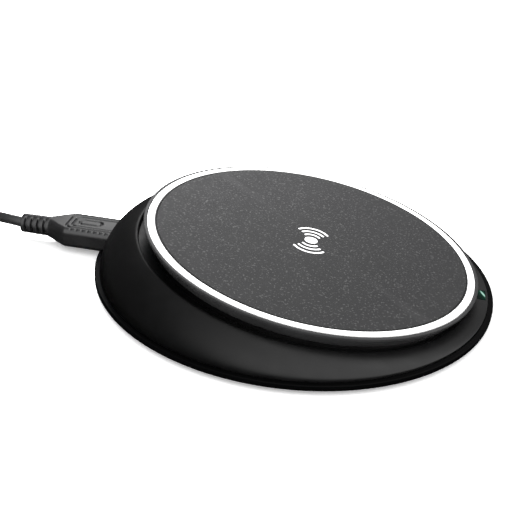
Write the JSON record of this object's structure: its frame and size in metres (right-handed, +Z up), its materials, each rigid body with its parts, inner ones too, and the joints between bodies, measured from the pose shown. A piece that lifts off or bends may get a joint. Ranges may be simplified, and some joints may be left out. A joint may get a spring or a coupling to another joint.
{
  "type": "wireless charging pad",
  "caption": "Round wedge-shaped wireless charging pad: tilted dark top with a white grip ring, a black skirted base and a plugged-in lead wound into a coil.",
  "frame": {"origin": "centre of the pad's outline on the surface that its rubber feet stand on", "axes": "+Z up; +X towards the thin edge with the indicator light; the cable leaves along -X from the thick edge; the pad is symmetric about the XZ plane"},
  "size_m": [0.1927, 0.116, 0.0165],
  "materials": {
    "base_plastic": "satin black moulded ABS",
    "shell_plastic": "satin black moulded ABS",
    "rim_plastic": "satin dark grey",
    "plate_plastic": "matt dark grey soft-touch coating",
    "white_silicone": "matt white silicone",
    "black_rubber": "matt",
    "cable_plastic": "satin dark grey PVC",
    "board_laminate": "solder mask",
    "chip_plastic": "matt moulding compound",
    "ceramic": "fired ceramic",
    "ferrite": "matt sintered",
    "adhesive_foam": "matt foam tape",
    "holder_plastic": "natural white ABS",
    "light_plastic": "clear light pipe, lit green",
    "wire_insulation": "PVC",
    "copper_wire": "enamelled",
    "plated_steel": "nickel plated"
  },
  "bodies": {
    "pad": {"bottom_shell": "base_plastic", "top_shell": "shell_plastic", "top_rim": "rim_plastic", "grip_ring": "white_silicone", "top_plate": "plate_plastic", "plate_adhesive": "adhesive_foam", "transmitter_coil": "copper_wire", "ferrite_shield": "ferrite", "temperature_sensor": "chip_plastic", "coil_holder": "holder_plastic", "main_board": "board_laminate", "controller_chip": "chip_plastic", "driver_chip_1": "chip_plastic", "driver_chip_2": "chip_plastic", "input_inductor": "ferrite", "filter_capacitor_1": "ceramic", "filter_capacitor_2": "ceramic", "usb_socket_shell": "plated_steel", "usb_socket_tongue": "chip_plastic", "light_guide": "light_plastic", "led_board": "board_laminate", "led_chip": "light_plastic", "resonant_capacitor_1": "ceramic", "holder_screw_1": "plated_steel", "case_screw_1": "plated_steel", "rubber_foot_1": "black_rubber", "resonant_capacitor_2": "ceramic", "holder_screw_2": "plated_steel", "case_screw_2": "plated_steel", "rubber_foot_2": "black_rubber", "resonant_capacitor_3": "ceramic", "holder_screw_3": "plated_steel", "case_screw_3": "plated_steel", "rubber_foot_3": "black_rubber", "resonant_capacitor_4": "ceramic", "holder_screw_4": "plated_steel", "case_screw_4": "plated_steel", "rubber_foot_4": "black_rubber", "board_screw_1": "plated_steel", "led_wire_1": "wire_insulation", "coil_lead_1": "copper_wire", "board_screw_2": "plated_steel", "led_wire_2": "wire_insulation", "coil_lead_2": "copper_wire"},
    "cable": {"micro_plug_body": "cable_plastic", "micro_plug_shell": "plated_steel", "micro_plug_insert": "chip_plastic", "micro_strain_relief": "cable_plastic", "cable_lead": "cable_plastic", "cable_coil": "cable_plastic", "cable_tail": "cable_plastic", "cable_tie": "black_rubber", "usb_a_body": "cable_plastic", "usb_a_strain_relief": "cable_plastic", "usb_a_shell": "plated_steel", "usb_a_insert": "chip_plastic"}
  },
  "joints": [
    {"name": "plug_slide", "type": "slide", "parent": "pad", "child": "cable", "axis": [-1, 0, 0], "range_m": [0, 0.0065]}
  ]
}
